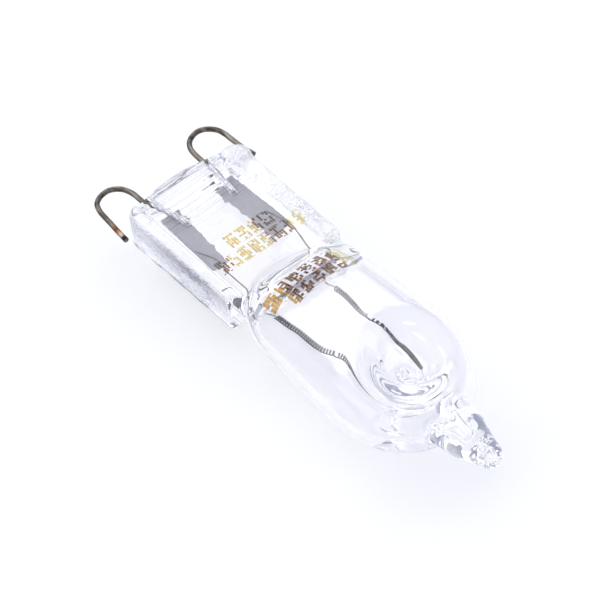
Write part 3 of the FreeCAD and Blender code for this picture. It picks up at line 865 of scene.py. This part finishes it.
floor = {
    "radius": 0.08,
    "corners": 96,
    "rough": 0.9,
    "finish": {"scale": 40.0, "detail": 2.0,
               "tones": [(0.3, (0.93, 0.93, 0.935)), (0.7, (0.95, 0.95, 0.95))]},
}
tent = {
    # the dimmer walls, by height, and how bright they are
    "walls": [(0.0, (0.50, 0.53, 0.70)), (0.25, (0.66, 0.69, 0.82)), (0.7, (0.90, 0.92, 1.0))],
    "dim": 0.74,
    "bright": 3.0,
    "stripAt": -0.6,  # the strip's place along x, as a direction
    "stripEdge": (0.24, 0.14),
    "stripLow": (0.04, 0.16),
    "stripEnd": (0.58, 0.44),
    "window": (-0.70, 0.62, 0.36),  # direction of a softer patch beside the strip
    "windowEdge": (0.92, 0.98),
    "windowShare": 0.5,
}
sidePanel = {"place": (0.3, -0.1, 0.2), "target": (0, 0, 0.005), "size": 0.12, "power": 0.2}
view = {
    "right": (8.0, 10.30, -1.56),  # the picture's directions in the lamp's own axes
    "down": (6.88, -6.69, -8.92),
    "target": (15.89, -0.506, 0.0),
    "distance": 2000.0,
    "pixel": 13.12,  # pixels to the millimetre
    "picture": 600,  # pixels across the picture
    "sensor": 36.0,
    "clip": (0.01, 10.0),
}


def addFloor():
    material, tree = newMaterial("PaleFloor")
    tone, _ = mottled(tree, addNode(tree, "ShaderNodeTexCoord").outputs["Object"], floor["finish"])
    surface(tree, principled(tree, {"Base Color": tone, "Roughness": floor["rough"],
                                    "Specular IOR Level": 0.0}))
    angles = np.linspace(0, 2 * math.pi, floor["corners"], endpoint=False)
    ring = [(floor["radius"] * math.cos(a), floor["radius"] * math.sin(a), 0.0) for a in angles]
    mesh = bpy.data.meshes.new("Floor")
    mesh.from_pydata(ring, [], [tuple(range(len(ring)))])
    mesh.materials.append(material)
    disc = bpy.data.objects.new("Floor", mesh)
    bpy.context.scene.collection.objects.link(disc)


def addPanel(name, panel):
    light = bpy.data.lights.new(name, "AREA")
    light.shape, light.size, light.energy = "SQUARE", panel["size"], panel["power"]
    lightObject = bpy.data.objects.new(name, light)
    bpy.context.scene.collection.objects.link(lightObject)
    lightObject.location = panel["place"]
    aim = Vector(panel["target"]) - Vector(panel["place"])
    lightObject.rotation_euler = aim.to_track_quat("-Z", "Y").to_euler()


def background(tree, colour, strength):
    return addNode(tree, "ShaderNodeBackground", {"Color": colour, "Strength": strength}).outputs[0]


def studioWorld():
    # a light tent: a long bright strip arches over the lamp, the rest is dimmer and bluish near the floor
    world = bpy.data.worlds.new("Studio")
    bpy.context.scene.world = world
    world.use_nodes = True
    tree = world.node_tree
    tree.nodes.clear()
    direction = addNode(tree, "ShaderNodeTexCoord").outputs["Generated"]
    x, y, z = separate(tree, direction)
    strip = times(tree, fade(tree, distance(tree, x, tent["stripAt"]), *tent["stripEdge"]),
                  fade(tree, z, *tent["stripLow"]), fade(tree, y, *tent["stripEnd"]))
    sides = {0: direction, 1: tent["window"]}
    towards = addNode(tree, "ShaderNodeVectorMath", sides, operation="DOT_PRODUCT").outputs["Value"]
    window = times(tree, fade(tree, towards, *tent["windowEdge"]), tent["windowShare"])
    white = (1.0, 1.0, 1.0, 1.0)
    dim = background(tree, ramp(tree, z, tent["walls"]), tent["dim"])
    lit = addNode(tree, "ShaderNodeMixShader", {0: maths(tree, "MAXIMUM", window, strip), 1: dim,
                                                2: background(tree, white, tent["bright"])}).outputs[0]
    seen = addNode(tree, "ShaderNodeLightPath").outputs["Is Camera Ray"]
    mix = addNode(tree, "ShaderNodeMixShader", {0: seen, 1: lit, 2: background(tree, white, 1.0)})
    addNode(tree, "ShaderNodeOutputWorld", {"Surface": mix.outputs[0]})


def addCamera():
    right, down = Vector(view["right"]).normalized(), Vector(view["down"]).normalized()
    forward = right.cross(down).normalized()
    down = forward.cross(right)
    place = Vector(view["target"]) - forward * view["distance"]
    data = bpy.data.cameras.new("PhotoView")
    data.sensor_width = view["sensor"]
    data.lens = data.sensor_width * view["distance"] * view["pixel"] / view["picture"]
    data.clip_start, data.clip_end = view["clip"]
    camera = bpy.data.objects.new("PhotoView", data)
    turn = Matrix((right, -down, -forward)).transposed().to_4x4()
    camera.matrix_world = lampPlace @ Matrix.Translation(place * 0.001) @ turn
    bpy.context.scene.collection.objects.link(camera)
    bpy.context.scene.camera = camera


addFloor()
studioWorld()
addPanel("SidePanel", sidePanel)
addCamera()
bpy.context.scene.view_settings.view_transform = "Standard"
print("floor, light and camera")
